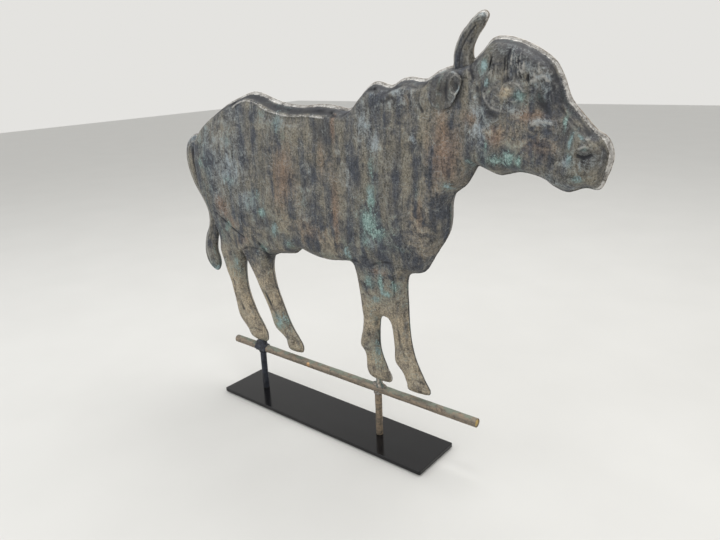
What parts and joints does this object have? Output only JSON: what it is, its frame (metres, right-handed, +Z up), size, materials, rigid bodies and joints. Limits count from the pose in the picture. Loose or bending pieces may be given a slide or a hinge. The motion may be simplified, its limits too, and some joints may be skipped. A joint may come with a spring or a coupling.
{
  "type": "weather vane",
  "caption": "Flattened cow weather vane of hammered copper halves on a horizontal rod, turning on a hidden pin above a slim rectangular plate.",
  "frame": {"origin": "centre of the object's bounding box in X and Y, at the surface that its rubber feet stand on", "axes": "+X along the rod towards the cow's muzzle, +Y towards the cow's left side, +Z up along the spindle"},
  "size_m": [0.7018, 0.085, 0.5878],
  "materials": {
    "gloss_black": "gloss black enamel on steel plate",
    "rubber": "matt",
    "steel": "turned and drawn, hidden inside",
    "brass": "dull, handled",
    "rod_copper": "aged copper tube with grey and green bloom",
    "tube_copper": "tan aged copper with dark stains",
    "solder": "grey lead-tin solder, weathered",
    "blue_black": "blue-black iron",
    "leg_copper": "tan copper with green patches",
    "body_copper": "hammered copper sheet, dark patina with rust-brown and verdigris streaks"
  },
  "bodies": {
    "stand": {"base_plate": "gloss_black", "bumper_foot_front_right": "rubber", "bumper_foot_front_left": "rubber", "bumper_foot_rear_right": "rubber", "bumper_foot_rear_left": "rubber", "spindle_pin": "steel", "spindle_screw": "steel"},
    "pivot": {"pivot_ball": "steel"},
    "vane": {"rod_tube": "rod_copper", "rod_plug_front": "brass", "rod_plug_rear": "brass", "spindle_tube": "tube_copper", "thrust_plug": "brass", "spindle_solder": "solder", "rear_post": "blue_black", "rear_post_foot": "rubber", "rear_post_patch": "blue_black", "seam_solder_back": "solder", "seam_solder_belly": "solder", "right_body_shell": "body_copper", "right_horn_half": "body_copper", "right_ear": "body_copper", "right_tail_half": "body_copper", "right_front_leg_right_half": "leg_copper", "left_front_leg_right_half": "leg_copper", "right_rear_leg_right_half": "leg_copper", "left_rear_leg_right_half": "leg_copper", "left_body_shell": "body_copper", "left_horn_half": "body_copper", "left_ear": "body_copper", "left_tail_half": "body_copper", "right_front_leg_left_half": "leg_copper", "left_front_leg_left_half": "leg_copper", "right_rear_leg_left_half": "leg_copper", "left_rear_leg_left_half": "leg_copper", "front_leg_rod": "steel", "rear_leg_rod": "steel", "body_brace": "steel", "front_foot_solder": "solder"}
  },
  "joints": [
    {"name": "vane_turn", "type": "hinge", "parent": "stand", "child": "pivot", "pos_m": [0.04009, 0, 0.0656], "axis": [0, 0, 1], "continuous": true},
    {"name": "vane_lift", "type": "slide", "parent": "pivot", "child": "vane", "axis": [0, 0, 1], "range_m": [0, 0.08]}
  ]
}
